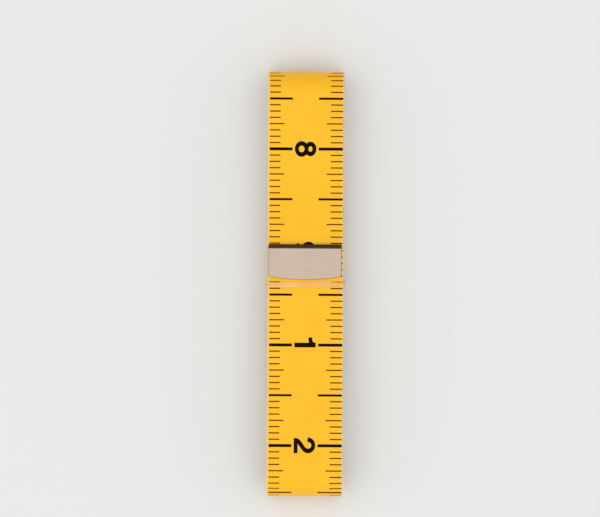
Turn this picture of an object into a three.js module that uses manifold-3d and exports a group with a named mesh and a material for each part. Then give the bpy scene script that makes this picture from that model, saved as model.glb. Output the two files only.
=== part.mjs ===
import * as THREE from "three";
import { mergeVertices } from "three/addons/utils/BufferGeometryUtils.js";
import Module from "manifold-3d";

// A cloth tape measure, wound flat and held by an elastic band. Millimetres, +Z up.
// The bundle lies on its back: X runs across the tape, Y along the bundle, and the zero end is on top.

// The tape, over its two end tips.
const TAPE_LENGTH = 1500;
const TAPE_WIDTH = 19;
const TAPE_THICKNESS = 0.3;

// The winding: its folds, the air between its layers, and the lead from the last fold to the inner tip.
const FOLDS = 14;
const LAYER_GAP = 0.42;
const INNER_FOLD_RADIUS = 1.35;
const INNER_LEAD = 32;

// The bundle is drawn in under the band, as far as the inner tip leaves room, and lies flat beside each fold.
const INNER_TIP_GAP = 0.15;
const WAIST_HALF_LENGTH = 14;
const FOOT_LENGTH = 4.6;

// The free end on the front: where the scale starts, and the gap where the strip bends.
const ZERO_END_Y = 10;
const TIP_BEND_GAP = 0.4;
const TIP_SEAT_GAP = 0.3;
const TIP_RISE_LENGTH = 11;

// The folded metal strip on each end of the tape.
const FERRULE_INSET = 0.28;
const FERRULE_LENGTH = 8.9;
const FERRULE_BOW = 0.85;
const FERRULE_SHEET = 0.25;
const FERRULE_FIT = 0.05;
const FERRULE_TO_BEND = 0.35;

// The elastic band round the middle.
const BAND_WIDTH = 1.3;
const BAND_THICKNESS = 0.45;
const BAND_FIT = 0.25;
const BAND_TO_BEND = 1.1;
const BAND_TILT = THREE.MathUtils.degToRad(2);

// How finely the round stretches are divided.
const FOLD_STEPS = 16;
const RAMP_STEPS = 7;
const BEND_STEPS = 8;
const SHORTEST_STEP = 0.5;
const LENGTH_PASSES = 6;

const pitch = TAPE_THICKNESS + LAYER_GAP;
const outerFoldRadius = INNER_FOLD_RADIUS + ((FOLDS - 1) * pitch) / 2;
const middleZ = outerFoldRadius + TAPE_THICKNESS / 2;
const foldInside = FERRULE_SHEET + FERRULE_FIT;
const ferruleHalf = TAPE_THICKNESS / 2 + foldInside;
const ferruleWidth = TAPE_WIDTH - 2 * FERRULE_INSET;
const innermostOffset = outerFoldRadius - Math.floor((FOLDS - 1) / 2) * pitch;
const waistDepth = innermostOffset - TAPE_THICKNESS / 2 - ferruleHalf - INNER_TIP_GAP;
const tipRise = TAPE_THICKNESS / 2 + TIP_SEAT_GAP + ferruleHalf - pitch;
const tipZ = middleZ + outerFoldRadius - waistDepth + tipRise;
const tipBendY = ZERO_END_Y - FERRULE_LENGTH - FERRULE_TO_BEND;
const bandY = tipBendY - BAND_TO_BEND;
const innerRun = INNER_LEAD + FERRULE_LENGTH - foldInside;

const wasm = await Module();
wasm.setup();

const cloth = new THREE.MeshStandardMaterial({ color: 0xfdc13e, roughness: 0.5, metalness: 0 });
const metal = new THREE.MeshStandardMaterial({ color: 0xd5c6b5, roughness: 0.45, metalness: 0.9 });
const rubber = new THREE.MeshStandardMaterial({ color: 0xf3dcc0, roughness: 0.4, metalness: 0 });

// From 0 at the start to 1 at the end, level at both.
function ease(start, end, at) {
  const share = THREE.MathUtils.clamp((at - start) / (end - start), 0, 1);
  return (1 - Math.cos(Math.PI * share)) / 2;
}

// Where the folds have their centres. Even folds are at the bottom, odd ones at the top, half a layer lower.
function foldCentre(fold, run) {
  const atTop = fold % 2 === 1;
  return {
    y: (atTop ? run : -run) / 2 + pitch / 4,
    z: middleZ - (atTop ? pitch / 2 : 0),
  };
}

const foldRadius = (fold) => outerFoldRadius - (fold * pitch) / 2;

// Even layers are on the front and odd ones on the back, each pair one pitch further in.
function layerSide(layer) {
  return layer % 2 === 0 ? 1 : -1;
}

// The two slopes between the waist and the feet, each from its foot to the waist.
function waistRamps(run) {
  const foot = run / 2 - FOOT_LENGTH;
  return [
    [-foot, bandY - WAIST_HALF_LENGTH],
    [foot, bandY + WAIST_HALF_LENGTH],
  ];
}

function layerHeight(layer, y, run) {
  const side = layerSide(layer);
  const offset = side * (outerFoldRadius - Math.floor(layer / 2) * pitch);
  const [lower, upper] = waistRamps(run);
  const waist = y < bandY ? ease(...lower, y) : ease(...upper, y);
  const drawnIn = offset - side * waistDepth * waist;
  if (layer === 0) return middleZ + drawnIn + tipRise * ease(bandY - TIP_RISE_LENGTH, bandY, y);
  if (layer < FOLDS) return middleZ + drawnIn;
  const start = foldCentre(FOLDS - 1, run).y;
  return middleZ + drawnIn * (1 - ease(0, INNER_LEAD, Math.abs(y - start)));
}

// The middle of the strip on a straight layer, with the outward normal.
function layerStation(layer, y, run) {
  const nudge = 1e-3;
  const slope = (layerHeight(layer, y + nudge, run) - layerHeight(layer, y - nudge, run)) / (2 * nudge);
  const side = layerSide(layer);
  const scale = side / Math.hypot(slope, 1);
  return { y, z: layerHeight(layer, y, run), ny: -slope * scale, nz: scale };
}

// The places on a layer that need a station, in the order of travel.
function layerStops(layer, from, to, run) {
  const ramps = waistRamps(run);
  if (layer === 0) ramps.push([bandY - TIP_RISE_LENGTH, bandY]);
  if (layer === FOLDS) ramps.push([from, from + Math.sign(to - from) * INNER_LEAD]);
  const stops = ramps.flatMap(([start, end]) =>
    Array.from({ length: RAMP_STEPS + 1 }, (_, k) => start + ((end - start) * k) / RAMP_STEPS),
  );
  const within = stops.filter((y) => Math.abs(y - from) + Math.abs(y - to) <= Math.abs(to - from));
  within.sort((a, b) => (a - b) * Math.sign(to - from));
  const spaced = [];
  for (const y of within) {
    const last = spaced.at(-1) ?? from;
    if (Math.abs(y - last) > SHORTEST_STEP && Math.abs(y - to) > SHORTEST_STEP) spaced.push(y);
  }
  return spaced;
}

// A half circle from one layer to the next.
function foldStations(fold, run) {
  const centre = foldCentre(fold, run);
  const radius = foldRadius(fold);
  const first = fold % 2 === 0 ? Math.PI / 2 : -Math.PI / 2;
  return Array.from({ length: FOLD_STEPS + 1 }, (_, k) => {
    const angle = first + (Math.PI * k) / FOLD_STEPS;
    const ny = Math.cos(angle);
    const nz = Math.sin(angle);
    return { y: centre.y + radius * ny, z: centre.z + radius * nz, ny, nz };
  });
}

// The middle line of the wound strip, seen from the side, from the bend under the tip to the inner end.
function windingPath(run) {
  const path = [layerStation(0, tipBendY - TIP_BEND_GAP / 2, run)];
  for (let layer = 0; layer <= FOLDS; layer++) {
    const from = layer === 0 ? path[0].y : foldCentre(layer - 1, run).y;
    const to = layer === FOLDS ? from - layerSide(layer) * innerRun : foldCentre(layer, run).y;
    for (const y of layerStops(layer, from, to, run)) path.push(layerStation(layer, y, run));
    if (layer < FOLDS) path.push(...foldStations(layer, run));
    else path.push(layerStation(layer, to, run));
  }
  return path;
}

function pathLengths(path) {
  const lengths = [0];
  for (let i = 1; i < path.length; i++) {
    lengths.push(lengths[i - 1] + Math.hypot(path[i].y - path[i - 1].y, path[i].z - path[i - 1].z));
  }
  return lengths;
}

// The straight run between folds for which the whole tape comes out at its length.
function straightRun() {
  const pastWinding = ZERO_END_Y - tipBendY + TIP_BEND_GAP / 2 + foldInside;
  let run = TAPE_LENGTH / FOLDS;
  for (let pass = 0; pass < LENGTH_PASSES; pass++) {
    const wound = pathLengths(windingPath(run)).at(-1);
    run += (TAPE_LENGTH - pastWinding - wound) / (FOLDS - 0.5);
  }
  return run;
}

// The least air between two turns, from each point of the strip to every stretch past the nearest fold.
function leastTurnGap(path) {
  const lengths = pathLengths(path);
  const apart = Math.PI * INNER_FOLD_RADIUS;
  let least = Infinity;
  path.forEach((p, i) => {
    for (let k = 1; k < path.length; k++) {
      const nearest = Math.min(Math.abs(lengths[k] - lengths[i]), Math.abs(lengths[k - 1] - lengths[i]));
      if (nearest < apart) continue;
      const a = path[k - 1];
      const stepY = path[k].y - a.y;
      const stepZ = path[k].z - a.z;
      const along = ((p.y - a.y) * stepY + (p.z - a.z) * stepZ) / (stepY ** 2 + stepZ ** 2);
      const share = THREE.MathUtils.clamp(along, 0, 1);
      const distance = Math.hypot(p.y - a.y - share * stepY, p.z - a.z - share * stepZ);
      least = Math.min(least, distance - TAPE_THICKNESS);
    }
  });
  return least;
}

// A flat strip of the tape's section along a path.
function stripGeometry(path) {
  const corners = [
    [-1, -1],
    [1, -1],
    [1, 1],
    [-1, 1],
  ];
  const sides = corners.length;
  const positions = path.flatMap((p) =>
    corners.flatMap(([across, out]) => [
      (across * TAPE_WIDTH) / 2,
      p.y + (out * p.ny * TAPE_THICKNESS) / 2,
      p.z + (out * p.nz * TAPE_THICKNESS) / 2,
    ]),
  );
  const faces = [0, 3, 2, 0, 2, 1];
  for (let i = 1; i < path.length; i++) {
    for (let k = 0; k < sides; k++) {
      const a = (i - 1) * sides + k;
      const b = (i - 1) * sides + ((k + 1) % sides);
      faces.push(a, b, b + sides, a, b + sides, a + sides);
    }
  }
  const end = (path.length - 1) * sides;
  faces.push(end, end + 1, end + 2, end, end + 2, end + 3);
  const geometry = new THREE.BufferGeometry();
  geometry.setAttribute("position", new THREE.Float32BufferAttribute(positions, 3));
  geometry.setIndex(faces);
  geometry.computeVertexNormals();
  return geometry;
}

function solidOf(geometry) {
  const bare = geometry.clone();
  bare.deleteAttribute("normal");
  bare.deleteAttribute("uv");
  const merged = mergeVertices(bare);
  const vertProperties = merged.attributes.position.array;
  return new wasm.Manifold(
    new wasm.Mesh({ numProp: 3, vertProperties, triVerts: new Uint32Array(merged.index.array) }),
  );
}

function geometryOf(solid) {
  const mesh = solid.getMesh();
  const geometry = new THREE.BufferGeometry();
  geometry.setAttribute("position", new THREE.Float32BufferAttribute(mesh.vertProperties, 3));
  geometry.setIndex(Array.from(mesh.triVerts));
  geometry.computeVertexNormals();
  return geometry;
}

// Turns a shape drawn in (Y, Z) and extruded along its own Z into one that runs across X, centred on it.
function acrossX(geometry, width) {
  const axes = new THREE.Matrix4().makeBasis(
    new THREE.Vector3(0, 1, 0),
    new THREE.Vector3(0, 0, 1),
    new THREE.Vector3(1, 0, 0),
  );
  return geometry.translate(0, 0, -width / 2).applyMatrix4(axes);
}

// A sheet folded over the tape's end at Y = 0, its two plates reaching back along -Y to a bowed edge.
function ferruleGeometry() {
  const slot = ferruleHalf - FERRULE_SHEET;
  const fold = new THREE.Shape();
  fold.moveTo(-FERRULE_LENGTH, -ferruleHalf);
  fold.lineTo(-ferruleHalf, -ferruleHalf);
  fold.absarc(-ferruleHalf, 0, ferruleHalf, -Math.PI / 2, Math.PI / 2, false);
  fold.lineTo(-FERRULE_LENGTH, ferruleHalf);
  fold.lineTo(-FERRULE_LENGTH, slot);
  fold.lineTo(-ferruleHalf, slot);
  fold.absarc(-ferruleHalf, 0, slot, Math.PI / 2, -Math.PI / 2, true);
  fold.lineTo(-FERRULE_LENGTH, -slot);
  fold.closePath();
  const options = { depth: ferruleWidth, bevelEnabled: false, curveSegments: BEND_STEPS };
  const folded = acrossX(new THREE.ExtrudeGeometry(fold, options), ferruleWidth);

  const halfWidth = ferruleWidth / 2;
  const bowRadius = (halfWidth ** 2 + FERRULE_BOW ** 2) / (2 * FERRULE_BOW);
  const bowAngle = Math.asin(halfWidth / bowRadius);
  const bowCentreY = bowRadius - FERRULE_LENGTH;
  const past = FERRULE_SHEET;
  const plan = new THREE.Shape();
  plan.absarc(0, bowCentreY, bowRadius, -Math.PI / 2 - bowAngle, -Math.PI / 2 + bowAngle, false);
  plan.lineTo(halfWidth, past);
  plan.lineTo(-halfWidth, past);
  plan.closePath();
  const height = 2 * (ferruleHalf + past);
  const trim = new THREE.ExtrudeGeometry(plan, {
    depth: height,
    bevelEnabled: false,
    curveSegments: 2 * BEND_STEPS,
  }).translate(0, 0, -height / 2);
  return geometryOf(solidOf(folded).intersect(solidOf(trim)));
}

function roundedRectangle(Outline, halfWidth, low, high, radius) {
  const outline = new Outline();
  outline.absarc(halfWidth - radius, low + radius, radius, -Math.PI / 2, 0, false);
  outline.absarc(halfWidth - radius, high - radius, radius, 0, Math.PI / 2, false);
  outline.absarc(radius - halfWidth, high - radius, radius, Math.PI / 2, Math.PI, false);
  outline.absarc(radius - halfWidth, low + radius, radius, Math.PI, 1.5 * Math.PI, false);
  outline.closePath();
  return outline;
}

// A flat loop round the waist of the bundle, drawn in (X, Z) and extruded along the bundle.
function bandGeometry() {
  const inner = TAPE_WIDTH / 2 + BAND_FIT;
  const low = waistDepth - BAND_FIT;
  const high = tipZ + TAPE_THICKNESS / 2 + BAND_FIT;
  const wall = BAND_THICKNESS;
  const loop = roundedRectangle(THREE.Shape, inner + wall, low - wall, high + wall, BAND_FIT + wall);
  loop.holes.push(roundedRectangle(THREE.Path, inner, low, high, BAND_FIT));
  const options = { depth: BAND_WIDTH, bevelEnabled: false, curveSegments: BEND_STEPS };
  return new THREE.ExtrudeGeometry(loop, options).translate(0, 0, -BAND_WIDTH / 2).rotateX(Math.PI / 2);
}

function piece(name, geometry, material, place = {}) {
  const mesh = new THREE.Mesh(geometry, material);
  mesh.name = name;
  mesh.position.set(0, place.y ?? 0, place.z ?? 0);
  mesh.rotation.z = place.turn ?? 0;
  return mesh;
}

const run = straightRun();
const path = windingPath(run);
const innerEnd = path.at(-1);
const inwards = layerSide(FOLDS);
const tipStart = tipBendY + TIP_BEND_GAP / 2;
const tipEnd = ZERO_END_Y - foldInside;
const tipStrip = new THREE.BoxGeometry(TAPE_WIDTH, tipEnd - tipStart, TAPE_THICKNESS);
const ferrule = ferruleGeometry();

const part = new THREE.Group();
part.add(
  piece("tape_winding", stripGeometry(path), cloth),
  piece("tape_tip", tipStrip, cloth, { y: (tipStart + tipEnd) / 2, z: tipZ }),
  piece("outer_end_ferrule", ferrule, metal, { y: ZERO_END_Y, z: tipZ }),
  piece("inner_end_ferrule", ferrule, metal, {
    y: innerEnd.y - inwards * foldInside,
    z: innerEnd.z,
    turn: inwards > 0 ? Math.PI : 0,
  }),
  piece("elastic_band", bandGeometry(), rubber, { y: bandY, turn: BAND_TILT }),
);

const mm = (value) => `${value.toFixed(3)} mm`;
const bundleLength = run + foldRadius(0) + foldRadius(1) + TAPE_THICKNESS;
console.log(`bundle ${mm(bundleLength)} long, wound length ${mm(pathLengths(path).at(-1))}`);
console.log(`least gap between turns ${mm(leastTurnGap(path))}`);
console.log(`tip bend at y ${mm(tipBendY)}, z ${mm(tipZ)}, band at y ${mm(bandY)}`);

export default part;
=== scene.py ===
# %% [markdown]
# # A cloth tape measure, wound flat
# A sewing tape is one long coated strip with a scale on it. Here it is wound flat into a bundle, with a
# folded metal tip on each end and an elastic loop round its middle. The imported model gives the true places
# of these pieces, and this lesson dresses it: a strip that bends, real print, pressed metal and elastic.

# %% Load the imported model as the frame
import math

import bmesh
import bpy
import numpy as np
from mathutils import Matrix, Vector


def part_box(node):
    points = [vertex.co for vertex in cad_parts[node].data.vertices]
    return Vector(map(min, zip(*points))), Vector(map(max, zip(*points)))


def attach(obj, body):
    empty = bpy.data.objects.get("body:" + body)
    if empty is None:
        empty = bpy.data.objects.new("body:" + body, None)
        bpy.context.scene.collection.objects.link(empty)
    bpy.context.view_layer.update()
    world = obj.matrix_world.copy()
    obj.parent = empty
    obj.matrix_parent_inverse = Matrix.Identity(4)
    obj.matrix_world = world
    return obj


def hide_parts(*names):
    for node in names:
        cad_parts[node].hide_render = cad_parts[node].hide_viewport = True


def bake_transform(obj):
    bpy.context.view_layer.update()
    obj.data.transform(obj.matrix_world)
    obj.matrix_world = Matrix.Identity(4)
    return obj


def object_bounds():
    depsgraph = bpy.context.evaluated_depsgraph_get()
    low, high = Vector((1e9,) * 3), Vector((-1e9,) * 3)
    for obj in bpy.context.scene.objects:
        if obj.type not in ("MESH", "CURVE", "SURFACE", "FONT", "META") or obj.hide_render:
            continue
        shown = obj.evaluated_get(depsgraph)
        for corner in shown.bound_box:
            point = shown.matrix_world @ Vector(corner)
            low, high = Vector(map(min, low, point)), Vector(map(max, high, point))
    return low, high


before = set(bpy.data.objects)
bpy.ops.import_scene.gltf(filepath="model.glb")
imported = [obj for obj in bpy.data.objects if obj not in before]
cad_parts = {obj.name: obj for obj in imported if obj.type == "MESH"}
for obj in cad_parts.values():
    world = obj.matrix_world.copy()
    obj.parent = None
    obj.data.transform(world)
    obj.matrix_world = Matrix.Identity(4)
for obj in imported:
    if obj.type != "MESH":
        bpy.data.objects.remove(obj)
cad_low, cad_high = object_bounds()

# %% [markdown]
# ## The camera
# The photograph looks straight down on the front of the bundle. A long lens from well above keeps the strip
# as wide at its ends as in the middle. The lens follows from the height and from how many pixels a metre of
# the strip covers, so the render can be laid over the photograph without trying numbers by hand.

# %% Camera
PHOTO_WIDE = 600
PHOTO_HIGH = 517
PIXELS_PER_METRE = 3965
BUNDLE_PIXEL_X = 305.5
BUNDLE_PIXEL_Y = 284.0
BUNDLE_LEAN = math.radians(0.33)
CAMERA_HEIGHT = 2.0

camera_data = bpy.data.cameras.new("photo_camera")
camera_data.lens = camera_data.sensor_width * CAMERA_HEIGHT * PIXELS_PER_METRE / PHOTO_WIDE
camera = bpy.data.objects.new("photo_camera", camera_data)
camera.location = (
    (PHOTO_WIDE / 2 - BUNDLE_PIXEL_X) / PIXELS_PER_METRE,
    (BUNDLE_PIXEL_Y - PHOTO_HIGH / 2) / PIXELS_PER_METRE,
    cad_high.z + CAMERA_HEIGHT,
)
camera.rotation_euler.z = BUNDLE_LEAN
scene = bpy.context.scene
scene.collection.objects.link(camera)
scene.camera = camera
scene.view_settings.view_transform = "Standard"
print(f"lens {camera_data.lens:.1f} mm at {CAMERA_HEIGHT} m")

# %% [markdown]
# ## The route of the strip
# Seen from the side, the strip is a line: layers that run to and fro, joined by half circles that shrink
# towards the middle. It could be drawn by hand as a curve, but a formula keeps every layer one pitch from
# the next. The band draws the layers in, so each of them dips at the waist by the same eased amount.

# %% Sizes of the winding, most of them read from the frame
TAPE_THICKNESS = 0.30e-3
LAYER_GAP = 0.42e-3
FOLDS = 14
INNER_LEAD = 32e-3
WAIST_HALF_LENGTH = 14e-3
FOOT_LENGTH = 4.6e-3
TIP_RISE_LENGTH = 11e-3
TIP_SEAT_GAP = 0.3e-3
METAL_SHEET = 0.25e-3
END_INSET = 1.0e-3

winding_low, winding_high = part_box("tape_winding")
tip_low, tip_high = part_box("tape_tip")
metal_low, metal_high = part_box("outer_end_ferrule")
inner_metal_low, inner_metal_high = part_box("inner_end_ferrule")
band_low, band_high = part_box("elastic_band")

tape_width = winding_high.x - winding_low.x
pitch = TAPE_THICKNESS + LAYER_GAP
outer_fold_radius = (winding_high.z - TAPE_THICKNESS) / 2
middle_z = winding_high.z / 2
straight_run = winding_high.y - winding_low.y - 2 * outer_fold_radius + pitch / 2 - TAPE_THICKNESS
zero_end_y = metal_high.y
metal_half = (metal_high.z - metal_low.z) / 2
tip_z = (tip_low.z + tip_high.z) / 2
band_y = (band_low.y + band_high.y) / 2
tip_rise = TAPE_THICKNESS / 2 + TIP_SEAT_GAP + metal_half - pitch
waist_depth = middle_z + outer_fold_radius + tip_rise - tip_z
print(f"tape {tape_width * 1000:.1f} mm wide, drawn in {waist_depth * 1000:.2f} mm at the band")


# %% The layers and folds as formulas
def ease(start, end, at):
    share = np.clip((at - start) / (end - start), 0, 1)
    return (1 - np.cos(np.pi * share)) / 2


def waist(y):
    foot = straight_run / 2 - FOOT_LENGTH
    lower = ease(-foot, band_y - WAIST_HALF_LENGTH, y)
    upper = ease(foot, band_y + WAIST_HALF_LENGTH, y)
    return np.where(y < band_y, lower, upper)


def fold_centre(fold):
    at_top = fold % 2 == 1
    y = (straight_run if at_top else -straight_run) / 2 + pitch / 4
    return y, middle_z - (pitch / 2 if at_top else 0)


def layer_height(layer, y):
    side = 1 if layer % 2 == 0 else -1
    offset = side * (outer_fold_radius - layer // 2 * pitch - waist_depth * waist(y))
    if layer == 0:
        offset = offset + tip_rise * ease(band_y - TIP_RISE_LENGTH, band_y, y)
    if layer == FOLDS:
        offset = offset * (1 - ease(0, INNER_LEAD, np.abs(y - fold_centre(FOLDS - 1)[0])))
    return middle_z + offset


# %% Stations along the whole strip
RUN_STEP = 1.2e-3
TIP_STEP = 0.12e-3
FOLD_STEPS = 48


def layer_stations(layer, start, end, step):
    y = np.linspace(start, end, math.ceil(abs(end - start) / step) + 1)
    return np.column_stack([y, layer_height(layer, y)])


def fold_stations(fold):
    centre_y, centre_z = fold_centre(fold)
    radius = outer_fold_radius - fold * pitch / 2
    first = math.pi / 2 if fold % 2 == 0 else -math.pi / 2
    angle = first + np.linspace(0, math.pi, FOLD_STEPS + 1)
    return np.column_stack([centre_y + radius * np.cos(angle), centre_z + radius * np.sin(angle)])


def strip_stations():
    parts = [layer_stations(0, zero_end_y - END_INSET, band_y, TIP_STEP)]
    inner_end = inner_metal_low.y + END_INSET
    for layer in range(FOLDS + 1):
        start = band_y if layer == 0 else fold_centre(layer - 1)[0]
        end = inner_end if layer == FOLDS else fold_centre(layer)[0]
        parts.append(layer_stations(layer, start, end, RUN_STEP)[1:])
        if layer < FOLDS:
            parts.append(fold_stations(layer)[1:])
    return np.vstack(parts)


def distances(line):
    steps = np.linalg.norm(np.diff(line, axis=0), axis=1)
    return END_INSET + np.concatenate([[0], np.cumsum(steps)])


stations = strip_stations()
along_route = distances(stations)
print(f"{len(stations)} stations on {along_route[-1] * 1000:.1f} mm of route")

# %% [markdown]
# ## Tight and loose turns
# A hand never winds a tape perfectly. The first turn is pulled a little tighter than round over its two
# folds. The layers under it wander sideways and lift off each other between the band and the folds, in two
# slow waves each. All this stays smaller than the air between the layers, and the band pins it to nothing.

# %% Wander of the layers
FIRST_TURN_TIGHT = 0.024e-3
SIDE_WAVES = ((0.08e-3, 0.310, 0.4), (0.05e-3, 0.083, 2.1))
LIFT_WAVES = ((0.07e-3, 0.127, 1.3), (0.05e-3, 0.047, 0.2))
SIDE_STARTS = (0.03, 0.14)
LIFT_STARTS = (0.21, 0.30)


def wander(waves):
    return sum(size * np.sin(2 * np.pi * along_route / length + phase) for size, length, phase in waves)


ahead = np.gradient(stations, axis=0)
ahead /= np.linalg.norm(ahead, axis=1)[:, None]
outward = np.column_stack([ahead[:, 1], -ahead[:, 0]])
sideways = wander(SIDE_WAVES) * ease(*SIDE_STARTS, along_route)
loose = ease(*LIFT_STARTS, along_route)
lift = (loose * wander(LIFT_WAVES) - (1 - loose) * FIRST_TURN_TIGHT) * (1 - waist(stations[:, 0]))
middle_line = stations + outward * lift[:, None]
along_strip = distances(middle_line)
print(f"sideways up to {np.abs(sideways).max() * 1000:.2f} mm, lift up to {np.abs(lift).max() * 1000:.2f} mm")
print(f"strip from {along_strip[0] * 1000:.1f} to {along_strip[-1] * 1000:.1f} mm")


# %% A place on the strip: along it, across it and out from its middle
def on_strip(along, across, out):
    along, across, out = np.broadcast_arrays(along, across, out)

    def read(values):
        return np.interp(along, along_strip, values)

    x = across + read(sideways)
    y = read(middle_line[:, 0]) + out * read(outward[:, 0])
    z = read(middle_line[:, 1]) + out * read(outward[:, 1])
    return np.stack([x, y, z], axis=-1)


# %% [markdown]
# ## Floor and light
# The bundle lies on a plain pale floor under one wide soft panel, as it would on a photographer's table.
# The panel hangs a little towards the viewer's side, and the far side of the room is dimmer. The folds that
# face it turn darker, and the metal tip has something to mirror.

# %% Floor
FLOOR_SIZE = 6.0
FLOOR_DROP = 0.02e-3
FLOOR_COLOUR = (0.80, 0.80, 0.79, 1)
FLOOR_ROUGHNESS = 0.9


def mesh_object(name, points, faces):
    mesh = bpy.data.meshes.new(name)
    mesh.from_pydata(np.asarray(points).reshape(-1, 3).tolist(), [], faces)
    mesh.update()
    made = bpy.data.objects.new(name, mesh)
    scene.collection.objects.link(made)
    return made


corners = [(-1, -1), (1, -1), (1, 1), (-1, 1)]
floor_points = [(x * FLOOR_SIZE / 2, y * FLOOR_SIZE / 2, -FLOOR_DROP) for x, y in corners]
floor = mesh_object("floor", floor_points, [(0, 1, 2, 3)])
floor_paint = bpy.data.materials.new("pale_floor")
floor_paint.use_nodes = True
floor_shader = floor_paint.node_tree.nodes["Principled BSDF"]
floor_shader.inputs["Base Color"].default_value = FLOOR_COLOUR
floor_shader.inputs["Roughness"].default_value = FLOOR_ROUGHNESS
floor.data.materials.append(floor_paint)
print(f"floor {FLOOR_SIZE} m wide")

# %% Soft panel
PANEL_PLACE = (-0.10, -0.20, 1.40)
PANEL_SIZE = 2.1
PANEL_WATTS = 10.0

panel_data = bpy.data.lights.new("soft_panel", "AREA")
panel_data.size = PANEL_SIZE
panel_data.energy = PANEL_WATTS
panel = bpy.data.objects.new("soft_panel", panel_data)
panel.location = PANEL_PLACE
scene.collection.objects.link(panel)

# %% Room light
ROOM_NEAR = 0.85
ROOM_FAR = 0.62


def add_node(tree, kind, **settings):
    node = tree.nodes.new(kind)
    for name, value in settings.items():
        setattr(node, name, value)
    return node


room = bpy.data.worlds.new("room")
room.use_nodes = True
scene.world = room
sky = room.node_tree
room_light = sky.nodes["Background"]
direction = add_node(sky, "ShaderNodeTexCoord")
split = add_node(sky, "ShaderNodeSeparateXYZ")
fall = add_node(sky, "ShaderNodeMapRange")
fall.inputs["From Min"].default_value = -1
fall.inputs["To Min"].default_value = ROOM_NEAR
fall.inputs["To Max"].default_value = ROOM_FAR
sky.links.new(direction.outputs["Generated"], split.inputs["Vector"])
sky.links.new(split.outputs["Y"], fall.inputs["Value"])
sky.links.new(fall.outputs["Result"], room_light.inputs["Strength"])
room_light.inputs["Color"].default_value = (1, 1, 1, 1)
print(f"panel {PANEL_SIZE} m wide, room light {ROOM_FAR} to {ROOM_NEAR}")

# %% [markdown]
# ## Shared effects
# Both faces of the tape show the weave under the coating, and nearly every finish has a slow, patchy change
# of tone. Each effect is a node group, so a material only states its own sizes. The groups put out plain
# values, and the shader that uses them stays in the material.

# %% Two node groups: weave and patches
NOISE_DETAIL = 4


def new_group(name, inputs, outputs):
    tree = bpy.data.node_groups.new(name, "ShaderNodeTree")
    for socket, kind in inputs.items():
        tree.interface.new_socket(name=socket, in_out="INPUT", socket_type=kind)
    for socket, kind in outputs.items():
        tree.interface.new_socket(name=socket, in_out="OUTPUT", socket_type=kind)
    return tree, add_node(tree, "NodeGroupInput"), add_node(tree, "NodeGroupOutput")


def weave_group():
    inputs = {"Place": "NodeSocketVector", "Thread Pitch": "NodeSocketFloat"}
    tree, given, out = new_group("cloth_weave", inputs, {"Height": "NodeSocketFloat"})
    turns = add_node(tree, "ShaderNodeMath", operation="DIVIDE")
    turns.inputs[0].default_value = 2 * math.pi
    tree.links.new(given.outputs["Thread Pitch"], turns.inputs[1])
    place = add_node(tree, "ShaderNodeSeparateXYZ")
    tree.links.new(given.outputs["Place"], place.inputs["Vector"])
    threads = add_node(tree, "ShaderNodeMath", operation="MULTIPLY")
    for slot, axis in enumerate("XY"):
        phase = add_node(tree, "ShaderNodeMath", operation="MULTIPLY")
        wave = add_node(tree, "ShaderNodeMath", operation="SINE")
        tree.links.new(place.outputs[axis], phase.inputs[0])
        tree.links.new(turns.outputs["Value"], phase.inputs[1])
        tree.links.new(phase.outputs["Value"], wave.inputs[0])
        tree.links.new(wave.outputs["Value"], threads.inputs[slot])
    tree.links.new(threads.outputs["Value"], out.inputs["Height"])
    return tree


def patch_group():
    inputs = {"Place": "NodeSocketVector", "Patch Size": "NodeSocketFloat"}
    tree, given, out = new_group("patchy_tone", inputs, {"Mask": "NodeSocketFloat"})
    scale = add_node(tree, "ShaderNodeMath", operation="DIVIDE")
    scale.inputs[0].default_value = 1
    noise = add_node(tree, "ShaderNodeTexNoise")
    noise.inputs["Detail"].default_value = NOISE_DETAIL
    tree.links.new(given.outputs["Patch Size"], scale.inputs[1])
    tree.links.new(scale.outputs["Value"], noise.inputs["Scale"])
    tree.links.new(given.outputs["Place"], noise.inputs["Vector"])
    tree.links.new(noise.outputs["Fac"], out.inputs["Mask"])
    return tree


cloth_weave = weave_group()
patchy_tone = patch_group()
print("groups:", cloth_weave.name, patchy_tone.name)

# %% Helpers that every finish uses
NOISE_LOW = 0.3
NOISE_HIGH = 0.7


def new_finish(name):
    finish = bpy.data.materials.new(name)
    finish.use_nodes = True
    return finish, finish.node_tree, finish.node_tree.nodes["Principled BSDF"]


def place_group(tree, group, place, **values):
    node = add_node(tree, "ShaderNodeGroup", node_tree=group)
    tree.links.new(place, node.inputs["Place"])
    for socket, value in values.items():
        node.inputs[socket.replace("_", " ")].default_value = value
    return node.outputs[0]


def between(tree, share, low, high):
    """A value that runs from low to high as share runs over the range that the noise mostly keeps to."""
    node = add_node(tree, "ShaderNodeMapRange")
    node.inputs["From Min"].default_value = NOISE_LOW
    node.inputs["From Max"].default_value = NOISE_HIGH
    node.inputs["To Min"].default_value = low
    node.inputs["To Max"].default_value = high
    tree.links.new(share, node.inputs["Value"])
    return node.outputs["Result"]


def mix_colours(tree, share, first, second):
    """first and second are colours, or sockets that give them."""
    node = add_node(tree, "ShaderNodeMix", data_type="RGBA")
    tree.links.new(share, node.inputs["Factor"])
    for name, colour in (("A", first), ("B", second)):
        target = next(socket for socket in node.inputs if socket.name == name and socket.type == "RGBA")
        if isinstance(colour, tuple):
            target.default_value = (*colour, 1)
        else:
            tree.links.new(colour, target)
    return next(socket for socket in node.outputs if socket.type == "RGBA")


def add_bump(tree, shader, height, strength, depth):
    bump = add_node(tree, "ShaderNodeBump")
    bump.inputs["Strength"].default_value = strength
    bump.inputs["Distance"].default_value = depth
    tree.links.new(height, bump.inputs["Height"])
    tree.links.new(bump.outputs["Normal"], shader.inputs["Normal"])


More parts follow.
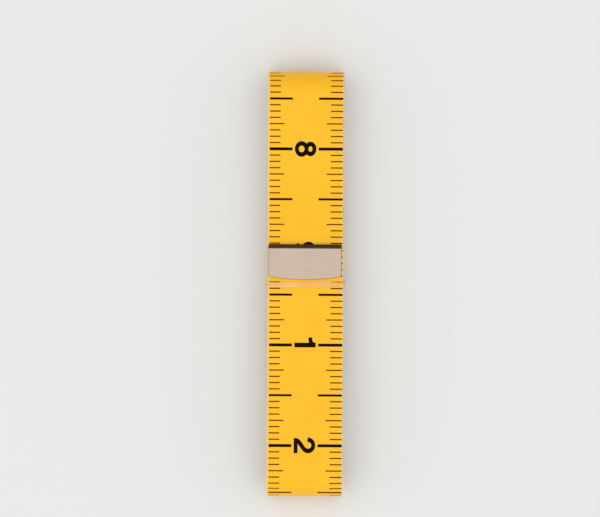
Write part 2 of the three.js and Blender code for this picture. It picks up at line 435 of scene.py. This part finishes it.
# %% [markdown]
# ## The coated strip
# The tape is woven fibre with a smooth coating, yellow on the scale side and white on the back, and its cut
# edges are paler where the core shows. A rounded section swept along the route gives one closed mesh. Its
# UV map holds plain metres, across and along, so the weave follows the strip round every fold.

# %% Finish of the coated faces and of the cut edge
WEAVE_PITCH = 0.62e-3
WEAVE_BUMP = (0.6, 0.02e-3)
COAT_PATCHES = 14e-3
COAT_ROUGHNESS = (0.38, 0.48)
COAT_SPECULAR = 0.25
EDGE_WEAR = 0.45e-3
FIBRES = 0.5e-3
FIBRE_BUMP = (0.5, 0.03e-3)
FIBRE_ROUGHNESS = 0.75
YELLOW = (0.98, 0.535, 0.010)
YELLOW_DEEP = (0.97, 0.50, 0.008)
YELLOW_WORN = (0.95, 0.66, 0.22)
WHITE = (0.80, 0.79, 0.74)
WHITE_DEEP = (0.74, 0.73, 0.67)
WHITE_WORN = (0.72, 0.69, 0.60)
CORE = (0.86, 0.72, 0.42)
CORE_DEEP = (0.74, 0.58, 0.30)


def coated_face(name, colour, deep, worn):
    finish, tree, shader = new_finish(name)
    flat = add_node(tree, "ShaderNodeUVMap", uv_map="tape_flat")
    patches = place_group(tree, patchy_tone, flat.outputs["UV"], Patch_Size=COAT_PATCHES)
    split = add_node(tree, "ShaderNodeSeparateXYZ")
    tree.links.new(flat.outputs["UV"], split.inputs["Vector"])
    across = add_node(tree, "ShaderNodeMath", operation="ABSOLUTE")
    tree.links.new(split.outputs["X"], across.inputs[0])
    edge = add_node(tree, "ShaderNodeMapRange", interpolation_type="SMOOTHSTEP")
    edge.inputs["From Min"].default_value = tape_width / 2 - EDGE_WEAR
    edge.inputs["From Max"].default_value = tape_width / 2
    tree.links.new(across.outputs["Value"], edge.inputs["Value"])
    toned = mix_colours(tree, between(tree, patches, 0, 1), colour, deep)
    tree.links.new(mix_colours(tree, edge.outputs["Result"], toned, worn), shader.inputs["Base Color"])
    tree.links.new(between(tree, patches, *COAT_ROUGHNESS), shader.inputs["Roughness"])
    shader.inputs["Specular IOR Level"].default_value = COAT_SPECULAR
    weave = place_group(tree, cloth_weave, flat.outputs["UV"], Thread_Pitch=WEAVE_PITCH)
    add_bump(tree, shader, weave, *WEAVE_BUMP)
    return finish


def cut_edge():
    finish, tree, shader = new_finish("cut_edge")
    flat = add_node(tree, "ShaderNodeUVMap", uv_map="tape_flat")
    fibres = place_group(tree, patchy_tone, flat.outputs["UV"], Patch_Size=FIBRES)
    tree.links.new(mix_colours(tree, fibres, CORE, CORE_DEEP), shader.inputs["Base Color"])
    add_bump(tree, shader, fibres, *FIBRE_BUMP)
    shader.inputs["Roughness"].default_value = FIBRE_ROUGHNESS
    return finish


strip_finishes = [
    coated_face("yellow_face", YELLOW, YELLOW_DEEP, YELLOW_WORN),
    coated_face("white_face", WHITE, WHITE_DEEP, WHITE_WORN),
    cut_edge(),
]
YELLOW_SIDE, WHITE_SIDE, EDGE_SIDE = range(3)
print("finishes of the strip:", ", ".join(finish.name for finish in strip_finishes))

# %% Section of the strip: a flat rectangle with small round corners
EDGE_ROUND = 0.09e-3
EDGE_SUPPORT = 0.35e-3
END_SUPPORT = 0.01e-3
ROUND_STEPS = 2
STATION_SPACE = 1e-6


def strip_section():
    """The outline as (across, out), anticlockwise, and the finish of each stretch that follows a point."""
    half_wide = tape_width / 2
    half_thick = TAPE_THICKNESS / 2
    outline = []
    for quarter, (side, face) in enumerate([(1, -1), (1, 1), (-1, 1), (-1, -1)]):
        for k in range(ROUND_STEPS + 1):
            angle = math.pi / 2 * (quarter - 1 + k / ROUND_STEPS)
            across = side * (half_wide - EDGE_ROUND) + EDGE_ROUND * math.cos(angle)
            out = face * (half_thick - EDGE_ROUND) + EDGE_ROUND * math.sin(angle)
            outline.append((across, out, EDGE_SIDE))
        if side == face:
            finish = YELLOW_SIDE if face > 0 else WHITE_SIDE
            outline[-1] = (*outline[-1][:2], finish)
            outline.append((side * (half_wide - EDGE_SUPPORT), face * half_thick, finish))
            outline.append((-side * (half_wide - EDGE_SUPPORT), face * half_thick, finish))
    return outline


# %% Sweep a stretch of the strip
def strip_piece(name, start, end):
    section = strip_section()
    ends = np.array([start, start + END_SUPPORT, end - END_SUPPORT, end])
    inside = (along_strip > ends[1] + STATION_SPACE) & (along_strip < ends[2] - STATION_SPACE)
    along = np.concatenate([ends[:2], along_strip[inside], ends[2:]])
    across = np.array([point[0] for point in section])
    out = np.array([point[1] for point in section])
    points = on_strip(along[:, None], across[None, :], out[None, :])
    count = len(section)
    faces = []
    for i in range(len(along) - 1):
        for j in range(count):
            k = (j + 1) % count
            faces.append((i * count + j, i * count + k, (i + 1) * count + k, (i + 1) * count + j))
    last = (len(along) - 1) * count
    faces.append(tuple(range(count))[::-1])
    faces.append(tuple(range(last, last + count)))
    strip = mesh_object(name, points, faces)
    for finish in strip_finishes:
        strip.data.materials.append(finish)
    sides = [point[2] for point in section] * (len(along) - 1) + [EDGE_SIDE, EDGE_SIDE]
    strip.data.polygons.foreach_set("material_index", sides)
    strip.data.polygons.foreach_set("use_smooth", [True] * (len(faces) - 2) + [False, False])
    flat = np.stack(np.broadcast_arrays(across[None, :], along[:, None]), axis=-1).reshape(-1, 2)
    corner_points = np.empty(len(strip.data.loops), dtype=int)
    strip.data.loops.foreach_get("vertex_index", corner_points)
    uv = strip.data.uv_layers.new(name="tape_flat")
    uv.data.foreach_set("uv", flat[corner_points].ravel())
    print(f"{name}: {len(faces)} faces, {(end - start) * 1000:.1f} mm of tape")
    return strip


# %% [markdown]
# ## Two lengths of one strip
# The free end lifts off the bundle, so the strip is swept in two lengths that meet under the band. The long
# one stays with the bundle. The short one, from the band to the metal tip, is swept on the route like the
# long one; nothing here bends it with the tip or attaches it to a body.

# %% Wound length and free end
SEAM_BELOW_BAND = 0.2e-3

seam = zero_end_y - band_y + SEAM_BELOW_BAND
tape_ribbon = strip_piece("tape_ribbon", seam, along_strip[-1])
tip_strip = strip_piece("tip_strip", along_strip[0], seam)


def bend_with_tip(piece):
    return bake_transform(piece)


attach(tape_ribbon, "bundle")
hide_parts("tape_winding")
bend_with_tip(tip_strip)
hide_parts("tape_tip")

# %% [markdown]
# ## The figures
# The scale's figures are plain and bold, drawn with a pen that is a little wider than high. A font could be
# loaded, but the print has to be a thin closed solid that bends with the tape. So each figure is a few
# strokes, made of bars, arcs and sweeps, turned into solids and joined, then sliced so that it can bend.
# Each is made twice, to read along the tape and across it, because the slices always lie across the tape.

# %% A pen in a box that is one wide and one high
FIGURE_HIGH = 5.45e-3
FIGURE_WIDE = 4.0e-3
FIGURE_PEN = np.array([1.17e-3, 0.98e-3])
ARC_STEP = 20
SWEEP_POINTS = 8


def arc(centre, radii, start, end):
    count = math.ceil(abs(end - start) / ARC_STEP)
    angles = np.radians(np.linspace(start, end, count + 1))
    return np.column_stack([centre[0] + radii[0] * np.cos(angles), centre[1] + radii[1] * np.sin(angles)])


def ring(centre, radii):
    return arc(centre, radii, 0, 360)


def sweep(start, leave, arrive, end):
    t = np.linspace(0, 1, SWEEP_POINTS)[:, None]
    start, leave, arrive, end = (np.array(point) for point in (start, leave, arrive, end))
    return start * (1 - t) ** 3 + 3 * leave * t * (1 - t) ** 2 + 3 * arrive * t**2 * (1 - t) + end * t**3


def bar(start, end):
    return np.array([start, end], dtype=float)


def turned(strokes):
    return [1 - stroke for stroke in strokes]


ZERO = np.vstack([
    arc((0.5, 0.66), (0.5, 0.34), 0, 180),
    arc((0.5, 0.34), (0.5, 0.34), 180, 360),
    [(1, 0.66)],
])
TWO = np.vstack([
    arc((0.47, 0.70), (0.5, 0.30), 186, -22),
    sweep((0.934, 0.588), (0.78, 0.36), (0.10, 0.28), (0.03, 0.02))[1:],
])
SIX = [
    ring((0.5, 0.315), (0.5, 0.315)),
    np.vstack([arc((0.52, 0.40), (0.52, 0.60), 180, 90), arc((0.52, 0.78), (0.44, 0.22), 90, 18)[1:]]),
]
FIGURES = {
    "0": [ZERO],
    "1": [bar((0.5, -0.1), (0.5, 1.1)), sweep((-0.18, 0.80), (0.18, 0.80), (0.42, 0.82), (0.5, 1.04))],
    "2": [TWO, bar((-0.17, 0), (1.17, 0))],
    "3": [
        np.vstack([arc((0.47, 0.755), (0.45, 0.245), 170, -90), [(0.33, 0.51)]]),
        arc((0.47, 0.27), (0.52, 0.26), 95, -170),
    ],
    "4": [bar((0.70, 1.0), (0.0, 0.27)), bar((-0.12, 0.25), (1.15, 0.25)), bar((0.72, -0.1), (0.72, 1.1))],
    "5": [
        bar((0.02, 1), (1.03, 1)),
        bar((0.17, 1.0), (0.08, 0.50)),
        arc((0.47, 0.325), (0.52, 0.325), 134, -168),
    ],
    "6": SIX,
    "7": [bar((-0.13, 1), (1.13, 1)), sweep((1.0, 1.0), (0.66, 0.70), (0.38, 0.34), (0.34, -0.085))],
    "8": [ring((0.5, 0.775), (0.45, 0.225)), ring((0.5, 0.275), (0.5, 0.275))],
    "9": turned(SIX),
}

# %% Strokes into flat solids, joined and sliced
PRINT_PROUD = 0.012e-3
PRINT_SUNK = 0.030e-3
SLICE = 0.45e-3
# The strokes are joined in millimetres, so a sliver is measured in millimetres too
JOIN_SCALE = 1000
SLIVER = 0.004


def stroke_solid(path, pen):
    """A closed flat bar along a path. A path that ends where it starts gives a ring."""
    closed = len(path) > 2 and np.allclose(path[0], path[-1])
    if closed:
        path = path[:-1]
        heading = np.roll(path, -1, axis=0) - np.roll(path, 1, axis=0)
    else:
        heading = np.gradient(path, axis=0)
    heading = heading / np.linalg.norm(heading, axis=1)[:, None]
    left = np.column_stack([-heading[:, 1], heading[:, 0]]) * pen / 2
    levels = [(path + left, 1), (path - left, 1), (path - left, -1), (path + left, -1)]
    count = len(path)
    sides = len(levels)
    points = np.stack([np.column_stack([edge, np.full(count, level)]) for edge, level in levels], axis=1)
    faces = []
    for i in range(count if closed else count - 1):
        n = (i + 1) % count
        for j in range(sides):
            k = (j + 1) % sides
            faces.append((i * sides + j, i * sides + k, n * sides + k, n * sides + j))
    if not closed:
        faces.append(tuple(range(sides))[::-1])
        faces.append(tuple(range(sides * (count - 1), sides * count)))
    return mesh_object("stroke", points, faces)


def figure_solid(strokes, reads_across):
    """Points (along, across, level) and triangles of one figure. Its level is 1 on top and -1 below."""
    size = np.array([FIGURE_WIDE, FIGURE_HIGH]) - FIGURE_PEN
    paths = [(stroke - 0.5) * size * JOIN_SCALE for stroke in strokes]
    pen = FIGURE_PEN * JOIN_SCALE
    length = FIGURE_WIDE
    if reads_across:
        paths = [np.column_stack([-path[:, 1], path[:, 0]]) for path in paths]
        pen = pen[::-1]
        length = FIGURE_HIGH
    solids = [stroke_solid(path, pen) for path in paths]
    for other in solids[1:]:
        join = solids[0].modifiers.new("join", "BOOLEAN")
        join.operation = "UNION"
        join.object = other
    bpy.context.view_layer.update()
    joined = solids[0].evaluated_get(bpy.context.evaluated_depsgraph_get()).to_mesh()
    work = bmesh.new()
    work.from_mesh(joined)
    slice_count = round(length / SLICE)
    for k in range(slice_count + 1):
        cut = (k / slice_count - 0.5) * length * JOIN_SCALE
        everything = [*work.verts, *work.edges, *work.faces]
        bmesh.ops.bisect_plane(work, geom=everything, plane_co=(cut, 0, 0), plane_no=(1, 0, 0))
    bmesh.ops.remove_doubles(work, verts=work.verts, dist=SLIVER)
    bmesh.ops.triangulate(work, faces=work.faces)
    bmesh.ops.dissolve_degenerate(work, dist=SLIVER, edges=work.edges)
    bmesh.ops.triangulate(work, faces=work.faces)
    points = np.array([vertex.co for vertex in work.verts])
    triangles = np.array([[vertex.index for vertex in face.verts] for face in work.faces])
    work.free()
    for solid in solids:
        bpy.data.objects.remove(solid)
    return points * (1 / JOIN_SCALE, 1 / JOIN_SCALE, 1), triangles


figures_along = {figure: figure_solid(strokes, False) for figure, strokes in FIGURES.items()}
figures_across = {figure: figure_solid(strokes, True) for figure, strokes in FIGURES.items()}
print("triangles along:", {figure: len(mesh[1]) for figure, mesh in figures_along.items()})
print("triangles across:", {figure: len(mesh[1]) for figure, mesh in figures_across.items()})

# %% [markdown]
# ## The printed scales
# Every mark is a thin box that stands a hundredth of a millimetre proud of the coating, and it takes its
# place from the same route as the strip. The yellow face has inches in sixteenths, with figures that read
# along the tape. The white face has centimetres, with lines right across the tape and figures that stand on
# their line. A loop prints the whole length, also where layers hide it.

# %% Finish of the ink
INK = (0.006, 0.002, 0.001)
INK_THIN = (0.016, 0.006, 0.002)
FINE_INK = (0.100, 0.020, 0.002)
FINE_INK_THIN = (0.140, 0.036, 0.003)
INK_PATCHES = 0.8e-3
INK_THINNEST = 0.8
INK_ROUGHNESS = (0.45, 0.6)
INK_SPECULAR = 0.02


def print_ink(name, colour, thin):
    finish, tree, shader = new_finish(name)
    where = add_node(tree, "ShaderNodeTexCoord")
    patches = place_group(tree, patchy_tone, where.outputs["Object"], Patch_Size=INK_PATCHES)
    shade = mix_colours(tree, between(tree, patches, 0, INK_THINNEST), colour, thin)
    tree.links.new(shade, shader.inputs["Base Color"])
    tree.links.new(between(tree, patches, *INK_ROUGHNESS), shader.inputs["Roughness"])
    shader.inputs["Specular IOR Level"].default_value = INK_SPECULAR
    return finish


inks = [print_ink("bold_ink", INK, INK_THIN), print_ink("fine_ink", FINE_INK, FINE_INK_THIN)]
BOLD, FINE = range(2)
print("inks:", ", ".join(ink.name for ink in inks))

# %% Marks and figures of one scale
INCH = 25.4e-3
CENTIMETRE = 10e-3
LEFT_START = 9.06e-3
RIGHT_START = tape_width / 2 - EDGE_ROUND
FIGURE_SPACE = 0.35e-3
FIGURE_STAND = 1.0e-3
FINE_BELOW = 0.35e-3
# How near a mark comes to the middle of the tape
SHORT, MIDDLE, LONG, RIGHT_ACROSS = 6.35e-3, 5.35e-3, 3.3e-3, 0

INCH_SCALE = {
    "unit": INCH,
    "parts": 16,
    "marks": {16: (LONG, 0.74e-3), 8: (LONG, 0.54e-3), 4: (MIDDLE, 0.30e-3), 1: (SHORT, 0.30e-3)},
    "thin_marks": FINE,
    "figures": figures_along,
    "figure_size": 1.0,
    "reads_across": False,
    "face": 1,
}
CENTIMETRE_SCALE = {
    "unit": CENTIMETRE,
    "parts": 10,
    "marks": {10: (RIGHT_ACROSS, 0.45e-3), 5: (MIDDLE, 0.28e-3), 1: (SHORT, 0.26e-3)},
    "thin_marks": BOLD,
    "figures": figures_across,
    "figure_size": 0.8,
    "reads_across": True,
    "face": -1,
}
BOX_FACES = np.array([(0, 2, 6, 4), (1, 5, 7, 3), (0, 1, 3, 2), (4, 6, 7, 5), (0, 4, 5, 1), (2, 3, 7, 6)])
BOX_CORNERS = 8


def scale_marks(scale, start, end):
    """The boxes of the marks, as points (along, across, level) and quads, and the ink of each quad."""
    step = scale["unit"] / scale["parts"]
    boxes, ink = [], []
    for index in range(math.ceil(start / step), math.floor(end / step) + 1):
        division = next(part for part in scale["marks"] if index % part == 0)
        reach, thick = scale["marks"][division]
        if start < index * step - thick and index * step + thick < end:
            spans = [(-LEFT_START, -reach), (reach, RIGHT_START)]
            if reach == RIGHT_ACROSS:
                spans = [(-LEFT_START, RIGHT_START)]
            along = (index * step - thick / 2, index * step + thick / 2)
            for span in spans:
                boxes.append([(a, x, level) for a in along for x in span for level in (-1, 1)])
                ink += [scale["thin_marks"] if thick < FINE_BELOW else BOLD] * len(BOX_FACES)
    quads = BOX_FACES[None] + BOX_CORNERS * np.arange(len(boxes))[:, None, None]
    return np.array(boxes).reshape(-1, 3), quads.reshape(-1, 4), ink


def scale_figures(scale, start, end):
    """The figures of the whole units, where they lie wholly on this length."""
    size = scale["figure_size"]
    advance = (FIGURE_WIDE + FIGURE_SPACE) * size
    points, triangles, count = [], [], 0
    for number in range(1, math.floor(end / scale["unit"]) + 1):
        text = str(number)
        middle = number * scale["unit"]
        reach = len(text) * advance / 2
        if scale["reads_across"]:
            reach = FIGURE_HIGH * size / 2
            middle -= FIGURE_STAND + reach
        if middle - reach < start or middle + reach > end:
            continue
        for place, figure in enumerate(text):
            solid, faces = scale["figures"][figure]
            shift = (place - (len(text) - 1) / 2) * advance
            where = (middle, shift, 0) if scale["reads_across"] else (middle + shift, 0, 0)
            points.append(solid * (size, size, 1) + where)
            triangles.append(faces + count)
            count += len(solid)
    return (np.vstack(points), np.vstack(triangles)) if points else (np.empty((0, 3)), np.empty((0, 3), int))


# %% Lay a scale on a length of the strip
def scale_piece(name, scale, start, end):
    marks, quads, ink = scale_marks(scale, start, end)
    figures, triangles = scale_figures(scale, start, end)
    flat = np.vstack([marks, figures])
    surface = TAPE_THICKNESS / 2
    out = np.where(flat[:, 2] > 0, surface + PRINT_PROUD, surface - PRINT_SUNK)
    points = on_strip(flat[:, 0], scale["face"] * flat[:, 1], scale["face"] * out)
    faces = quads.tolist() + (triangles + len(marks)).tolist()
    printed = mesh_object(name, points, faces)
    for finish in inks:
        printed.data.materials.append(finish)
    printed.data.polygons.foreach_set("material_index", ink + [BOLD] * len(triangles))
    print(f"{name}: {len(quads) // len(BOX_FACES)} boxes of marks, {len(faces)} faces")
    return printed


ribbon_scales = [
    scale_piece("tape_ribbon_inches", INCH_SCALE, seam, along_strip[-1]),
    scale_piece("tape_ribbon_centimetres", CENTIMETRE_SCALE, seam, along_strip[-1]),
]
tip_scales = [
    scale_piece("tip_strip_inches", INCH_SCALE, along_strip[0], seam),
    scale_piece("tip_strip_centimetres", CENTIMETRE_SCALE, along_strip[0], seam),
]
for printed in ribbon_scales:
    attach(printed, "bundle")
for printed in tip_scales:
    bend_with_tip(printed)

# %% [markdown]
# ## The metal tips
# Each end of the tape sits in a strip of sheet metal that is folded over it, with a shallow bow on the open
# edge. The press squares the fold on the back and rolls it over on the front. The roll is coloured dark over
# most of its length, a painted shade and painted reflection on the curved fold. The sheared edges have no
# plating and are painted darker, partly bare metal and partly a painted shadow along the bowed edge. A grid
# follows the bow and the roll, is thickened inwards, and gets a small bevel on its edges, in the bare metal.

# %% Finish of the pressed metal and of its sheared edges
METAL = (0.51, 0.406, 0.334)
METAL_DULL = (0.48, 0.379, 0.310)
# painted shade and painted reflection of the rolled fold, not a colour of the metal itself
METAL_FOLD_SHADE = (0.070, 0.040, 0.018)
METAL_PATCHES = 4e-3
METAL_ROUGHNESS = (0.40, 0.52)
GRAIN = 0.16e-3
GRAIN_STRETCH = (0.06, 1, 1)
GRAIN_BUMP = (0.25, 0.01e-3)
# bare cut edge, painted darker than bare steel so that it also stands for the contact shadow under the bowed
# edge
BARE_EDGE_SHADOW = (0.150, 0.095, 0.055)
BARE_EDGE_SHADOW_DULL = (0.090, 0.055, 0.030)
BARE_PATCHES = 0.6e-3
BARE_ROUGHNESS = (0.50, 0.65)
ROLL_LENGTH = 1.12e-3
ROLL_SHADE_START = 0.88


def pressed_metal():
    finish, tree, shader = new_finish("pressed_metal")
    where = add_node(tree, "ShaderNodeTexCoord")
    stretch = add_node(tree, "ShaderNodeMapping")
    stretch.inputs["Scale"].default_value = GRAIN_STRETCH
    tree.links.new(where.outputs["Object"], stretch.inputs["Vector"])
    patches = place_group(tree, patchy_tone, where.outputs["Object"], Patch_Size=METAL_PATCHES)
    grain = place_group(tree, patchy_tone, stretch.outputs["Vector"], Patch_Size=GRAIN)
    split = add_node(tree, "ShaderNodeSeparateXYZ")
    tree.links.new(where.outputs["Object"], split.inputs["Vector"])
    # painted shade: the front of the roll is coloured dark, standing for the shade and dim reflection on the
    # curved fold
    fold = add_node(tree, "ShaderNodeMapRange", interpolation_type="SMOOTHSTEP")
    fold.inputs["From Min"].default_value = -ROLL_LENGTH
    fold.inputs["From Max"].default_value = -ROLL_SHADE_START * ROLL_LENGTH
    tree.links.new(split.outputs["Y"], fold.inputs["Value"])
    plate = mix_colours(tree, between(tree, patches, 0, 1), METAL, METAL_DULL)
    tree.links.new(mix_colours(tree, fold.outputs["Result"], plate, METAL_FOLD_SHADE), shader.inputs["Base Color"])
    tree.links.new(between(tree, grain, *METAL_ROUGHNESS), shader.inputs["Roughness"])
    add_bump(tree, shader, grain, *GRAIN_BUMP)
    shader.inputs["Metallic"].default_value = 1
    return finish


# bare metal of the cut edges, its dark colour partly a painted shadow along the plate's bowed edge
def sheared_metal():
    finish, tree, shader = new_finish("sheared_metal")
    where = add_node(tree, "ShaderNodeTexCoord")
    patches = place_group(tree, patchy_tone, where.outputs["Object"], Patch_Size=BARE_PATCHES)
    shade = mix_colours(tree, between(tree, patches, 0, 1), BARE_EDGE_SHADOW, BARE_EDGE_SHADOW_DULL)
    tree.links.new(shade, shader.inputs["Base Color"])
    tree.links.new(between(tree, patches, *BARE_ROUGHNESS), shader.inputs["Roughness"])
    shader.inputs["Metallic"].default_value = 1
    return finish


metal_finishes = [pressed_metal(), sheared_metal()]
SHEARED = 1
print("finishes of the metal:", ", ".join(finish.name for finish in metal_finishes))

# %% One folded tip, its fold at y = 0 and its plates towards -y
METAL_BOW = 0.85e-3
METAL_BEVEL = 0.07e-3
BEVEL_STEPS = 2
METAL_UNEVEN = 0.02e-3
UNEVEN_X = (900, 1)
UNEVEN_Y = (1100, 2)
ROLL_ARC = math.radians(85)
ROLL_CORNER = 0.30e-3
ROLL_STEPS = 14
SHOULDER = 0.06e-3
PLATE_COLUMNS = 40
PLATE_ROWS = 16
TIP_SHIFT = -0.12e-3

metal_width = metal_high.x - metal_low.x
metal_length = metal_high.y - metal_low.y


def bowed_edge(x):
    radius = ((metal_width / 2) ** 2 + METAL_BOW**2) / (2 * METAL_BOW)
    return radius - np.sqrt(radius**2 - x**2) - metal_length


def folded_sheet(x):
    """The outside line of the sheet at one place across: back plate, corner, roll, front plate, as (y, z)."""
    back_y = np.linspace(bowed_edge(x), -ROLL_CORNER, PLATE_ROWS + 1)
    back = np.column_stack([back_y, np.full(len(back_y), -metal_half)])
    down = np.radians(np.linspace(-90, 0, ROLL_STEPS // 2 + 1))[1:]
    corner = np.column_stack([np.cos(down) - 1, np.sin(down) + 1]) * ROLL_CORNER + (0, -metal_half)
    up = np.linspace(0, ROLL_ARC, ROLL_STEPS + 1)[1:]
    roll_y = -ROLL_LENGTH * (1 - np.cos(up)) / (1 - math.cos(ROLL_ARC))
    roll_z = corner[-1, 1] + (metal_half - corner[-1, 1]) * np.sin(up) / math.sin(ROLL_ARC)
    roll = np.column_stack([roll_y, roll_z])
    front_y = np.linspace(-ROLL_LENGTH - SHOULDER, bowed_edge(x), PLATE_ROWS + 1)
    front = np.column_stack([front_y, np.full(len(front_y), metal_half)])
    return np.vstack([back, corner, roll, front])


def metal_tip(name):
    columns = np.linspace(-metal_width / 2, metal_width / 2, PLATE_COLUMNS + 1)
    grid = np.array([[(x, y, z) for y, z in folded_sheet(x)] for x in columns])
    rows = grid.shape[1]
    uneven = np.sin(grid[..., 0] * UNEVEN_X[0] + UNEVEN_X[1])
    uneven = uneven * np.sin(grid[..., 1] * UNEVEN_Y[0] + UNEVEN_Y[1])
    grid[..., 2] -= grid[..., 2] / metal_half * METAL_UNEVEN * (1 + uneven) / 2
    faces = []
    for i in range(PLATE_COLUMNS):
        for j in range(rows - 1):
            faces.append((i * rows + j, i * rows + j + 1, (i + 1) * rows + j + 1, (i + 1) * rows + j))
    tip = mesh_object(name, grid, faces)
    tip.data.polygons.foreach_set("use_smooth", [True] * len(faces))
    thicken = tip.modifiers.new("sheet", "SOLIDIFY")
    thicken.thickness = METAL_SHEET
    thicken.material_offset_rim = SHEARED
    soften = tip.modifiers.new("sheared_edge", "BEVEL")
    soften.width = METAL_BEVEL
    soften.segments = BEVEL_STEPS
    soften.material = SHEARED
    for finish in metal_finishes:
        tip.data.materials.append(finish)
    return tip


# %% The two tips in place
outer_tip = metal_tip("outer_metal_tip")
outer_tip.location = (TIP_SHIFT, zero_end_y, tip_z)
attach(outer_tip, "tip")
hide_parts("outer_end_ferrule")

inner_tip = metal_tip("inner_metal_tip")
inner_tip.location = (0, inner_metal_low.y, (inner_metal_low.z + inner_metal_high.z) / 2)
inner_tip.rotation_euler.z = math.pi
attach(inner_tip, "bundle")
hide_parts("inner_end_ferrule")
print(f"metal tips {metal_width * 1000:.1f} x {metal_length * 1000:.1f} mm")

# %% [markdown]
# ## The elastic loop
# A thin see-through elastic holds the bundle. It is a soft bar swept round the waist: narrower over the
# middle, spread at the edges of the tape, and split by a groove on one side so that it looks like two
# strands. It lets more than half of the light through, so the tape's colour shows in its body.

# %% Finish of the elastic
ELASTIC = (1.0, 0.46, 0.10)
# pale colour of the streaks: partly milky lines in the elastic, partly painted highlight streaks
ELASTIC_PALE_HIGHLIGHT = (1.0, 0.91, 0.56)
ELASTIC_LINES = 0.5e-3
ELASTIC_STRETCH = (0.08, 1, 0.08)
ELASTIC_BUMP = (0.4, 0.03e-3)
ELASTIC_ROUGHNESS = 0.2
ELASTIC_COVER = (0.16, 0.44)


def clear_elastic():
    finish, tree, shader = new_finish("clear_elastic")
    where = add_node(tree, "ShaderNodeTexCoord")
    stretch = add_node(tree, "ShaderNodeMapping")
    stretch.inputs["Scale"].default_value = ELASTIC_STRETCH
    tree.links.new(where.outputs["Object"], stretch.inputs["Vector"])
    lines = place_group(tree, patchy_tone, stretch.outputs["Vector"], Patch_Size=ELASTIC_LINES)
    # painted highlight: the pale streaks stand partly for milky lines and partly for highlight streaks along
    # the band
    shade = mix_colours(tree, between(tree, lines, 0, 1), ELASTIC, ELASTIC_PALE_HIGHLIGHT)
    tree.links.new(shade, shader.inputs["Base Color"])
    add_bump(tree, shader, lines, *ELASTIC_BUMP)
    shader.inputs["Roughness"].default_value = ELASTIC_ROUGHNESS
    tree.links.new(between(tree, lines, *ELASTIC_COVER), shader.inputs["Alpha"])
    return finish


# %% Line of the loop round the waist
BAND_THICKNESS = 0.45e-3
BAND_FIT = 0.25e-3
BAND_TILT = math.radians(2)
CORNER_STEPS = 10
SIDE_STEPS = 28


def loop_line():
    """The loop's middle line as (x, z, outward x, outward z), anticlockwise from below."""
    turn = BAND_FIT + BAND_THICKNESS / 2
    reach = tape_width / 2
    low = band_low.z + BAND_THICKNESS / 2 + turn
    high = band_high.z - BAND_THICKNESS / 2 - turn
    centres = [(reach, low), (reach, high), (-reach, high), (-reach, low)]
    line = []
    for quarter, (x, z) in enumerate(centres):
        for k in range(CORNER_STEPS + 1):
            angle = math.pi / 2 * (quarter - 1 + k / CORNER_STEPS)
            away_x, away_z = math.cos(angle), math.sin(angle)
            line.append((x + turn * away_x, z + turn * away_z, away_x, away_z))
        next_x, next_z = centres[(quarter + 1) % len(centres)]
        last_x, last_z = line[-1][:2]
        for share in np.linspace(0, 1, SIDE_STEPS + 1)[1:-1]:
            line.append((last_x + (next_x - x) * share, last_z + (next_z - z) * share, away_x, away_z))
    return np.array(line)


# %% Sweep of the loop
BAND_NARROW = 1.10e-3
BAND_SPREAD = 0.40e-3
BAND_WAVER = 0.05e-3
WAVER_X = 1400
WAVER_Z = 900
BAND_SHIFT = 0.22e-3
BAND_RISE = 0.16e-3
BAND_DROP = 0.10e-3
DROP_START = 2e-3
BAND_SNUG = 0.14e-3
SNUG_POWER = 8
GROOVE = 0.26e-3
GROOVE_WIDE = 0.24
GROOVE_RUN = (-3e-3, 4e-3)
FRONT_FACING = 0.5
SECTION_POINTS = 32
SECTION_POWER = 0.6


def squarish(wave):
    """A sine or cosine with its round top flattened, for a section between a circle and a square."""
    return np.sign(wave) * np.abs(wave) ** SECTION_POWER


def elastic_loop():
    line = loop_line()
    x, z, away_x, away_z = (line[:, k][:, None] for k in range(4))
    edge = np.abs(x) / (tape_width / 2)
    width = BAND_NARROW + BAND_SPREAD * np.clip(edge, 0, 1) ** 2
    width = width + BAND_WAVER * np.sin(x * WAVER_X + z * WAVER_Z)
    rise = BAND_RISE * ease(0, -tape_width / 2, x)
    shift = BAND_SHIFT + rise - BAND_DROP * ease(DROP_START, tape_width / 2, x)
    groove = GROOVE * np.where(away_z > FRONT_FACING, ease(*GROOVE_RUN, x), 0)
    snug = BAND_SNUG * np.clip(1 - edge**SNUG_POWER, 0, 1)
    angle = np.linspace(0, 2 * math.pi, SECTION_POINTS, endpoint=False)[None, :]
    across = squarish(np.cos(angle))
    out = squarish(np.sin(angle)) * BAND_THICKNESS / 2 - snug
    out = out - np.where(np.sin(angle) > 0, groove * np.exp(-((across / GROOVE_WIDE) ** 2)), 0)
    points = np.stack([x + away_x * out, shift + width / 2 * across, z + away_z * out], axis=-1)
    rows, count = points.shape[:2]
    faces = []
    for i in range(rows):
        n = (i + 1) % rows
        for j in range(count):
            k = (j + 1) % count
            faces.append((i * count + j, n * count + j, n * count + k, i * count + k))
    loop = mesh_object("elastic_loop", points, faces)
    loop.data.polygons.foreach_set("use_smooth", [True] * len(faces))
    loop.data.materials.append(clear_elastic())
    loop.location.y = band_y
    loop.rotation_euler.z = BAND_TILT
    return loop


band_loop = elastic_loop()
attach(band_loop, "band")
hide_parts("elastic_band")
print(f"elastic loop: {len(band_loop.data.polygons)} faces")
